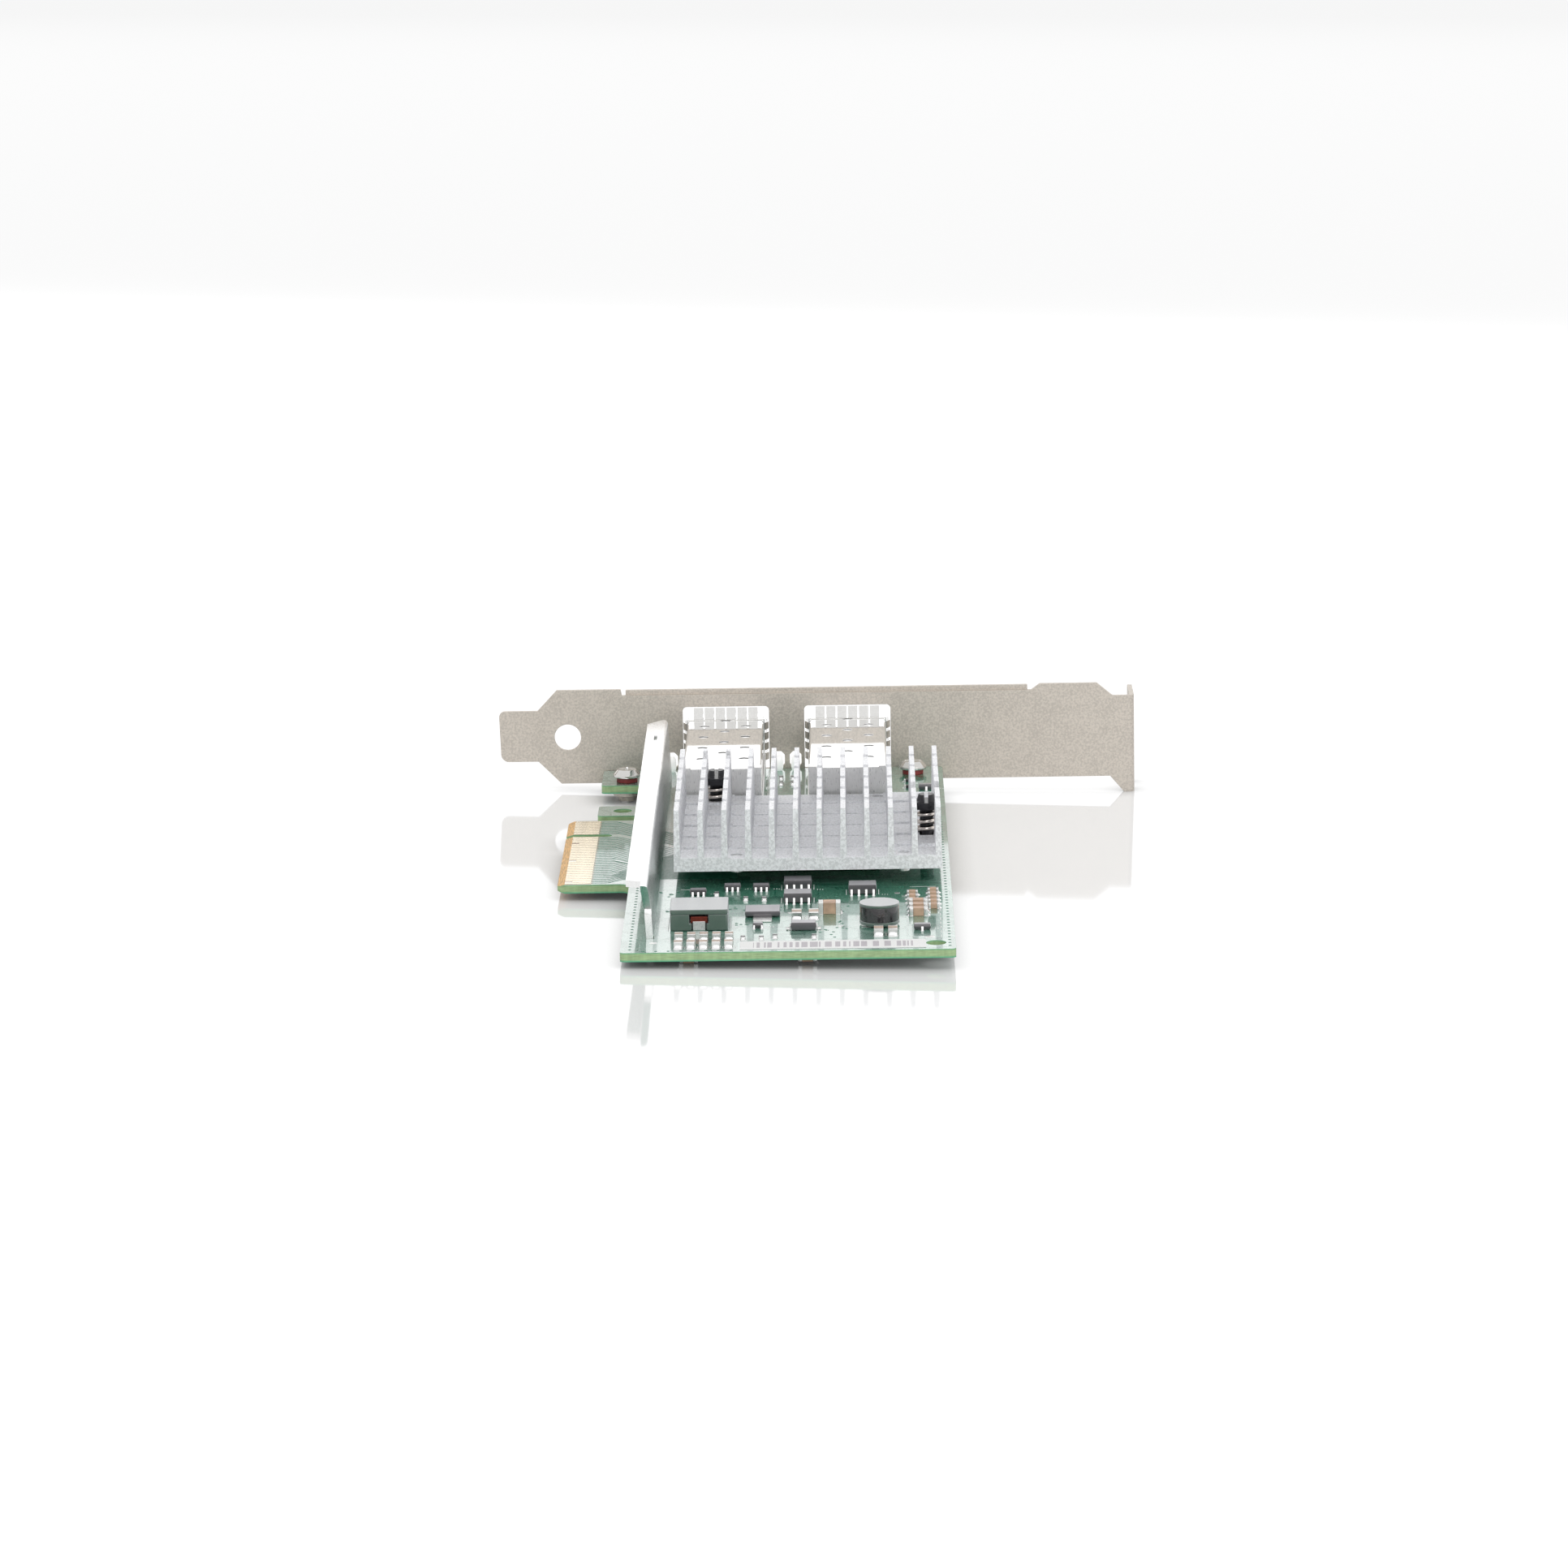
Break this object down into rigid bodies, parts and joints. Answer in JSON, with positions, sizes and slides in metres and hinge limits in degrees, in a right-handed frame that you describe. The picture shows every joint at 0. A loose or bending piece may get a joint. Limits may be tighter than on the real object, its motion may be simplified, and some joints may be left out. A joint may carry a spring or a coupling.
{
  "type": "network interface card",
  "caption": "Network interface card: low-profile board with two pluggable-transceiver cages, cross-cut heatsink, stiffener bar, edge contacts and full-height bracket.",
  "frame": {"origin": "middle of the key notch, on the contact edge and at half the thickness of the board", "axes": "+X from the contact edge across the card, +Y along the card to the bracket, +Z out of the component side"},
  "size_m": [0.12, 0.1599, 0.0211],
  "materials": {
    "label_paper": "matt label stock",
    "bracket_steel": "satin nickel-plated steel sheet",
    "screw_steel": "bright nickel plate",
    "cage_steel": "bright tin-plated sheet",
    "spring_steel": "bright spring sheet",
    "dark_ceramic": "coated ceramic",
    "tinned": "matt tin",
    "solder_mask": "glossy green solder mask over glass-epoxy laminate",
    "solder": "reflowed solder",
    "mould_black": "moulded epoxy, matt",
    "laminate": "package laminate",
    "ferrite": "ground ferrite",
    "enamelled_wire": "enamelled copper",
    "gold_plating": "gold plate",
    "aluminium": "natural extruded, saw cut",
    "pin_steel": "plain",
    "socket_plastic": "moulded, matt",
    "clear_resin": "clear moulded resin",
    "copper": "bare copper",
    "grey_ceramic": "dull fired ceramic",
    "coil_steel": "drawn spring wire",
    "tan_ceramic": "dull fired ceramic",
    "pin_plastic": "moulded, matt",
    "red_fibre": "dull red fibre",
    "bar_metal": "bright satin plate",
    "pad_grey": "soft filled pad"
  },
  "bodies": {
    "root": {"bare_label": "label_paper", "bracket": "bracket_steel", "bracket_screws": "screw_steel", "cage_base_a": "cage_steel", "cage_base_b": "cage_steel", "cage_cover_a": "cage_steel", "cage_cover_b": "cage_steel", "cage_spring_a": "spring_steel", "cage_spring_b": "spring_steel", "chip_resistor_bodies": "dark_ceramic", "chip_resistor_ends": "tinned", "circuit_board": "solder_mask", "controller_balls": "solder", "controller_cover": "mould_black", "controller_substrate": "laminate", "converter_bodies": "mould_black", "converter_leads": "tinned", "diode_body": "mould_black", "diode_leads": "tinned", "drum_core": "ferrite", "drum_terminals": "tinned", "drum_winding": "enamelled_wire", "edge_contacts": "gold_plating", "heatsink": "aluminium", "heatsink_studs": "pin_steel", "host_contacts_a": "gold_plating", "host_contacts_b": "gold_plating", "host_socket_a": "socket_plastic", "host_socket_b": "socket_plastic", "indicator_leds": "clear_resin", "inductor_cap": "ferrite", "inductor_core": "ferrite", "inductor_winding": "copper", "output_capacitor_bodies": "grey_ceramic", "output_capacitor_ends": "tinned", "pin_springs": "coil_steel", "power_capacitor_bodies": "tan_ceramic", "power_capacitor_ends": "tinned", "power_switch": "mould_black", "power_switch_pads": "copper", "push_pins": "pin_plastic", "regulator_bodies": "mould_black", "regulator_leads": "tinned", "screw_washers": "red_fibre", "small_capacitor_bodies": "tan_ceramic", "small_capacitor_ends": "tinned", "solder_side_capacitor_bodies": "tan_ceramic", "solder_side_capacitor_ends": "tinned", "stiffener_bar": "bar_metal", "thermal_pad": "pad_grey", "transistor_bodies": "mould_black", "transistor_leads": "tinned"}
  },
  "joints": []
}
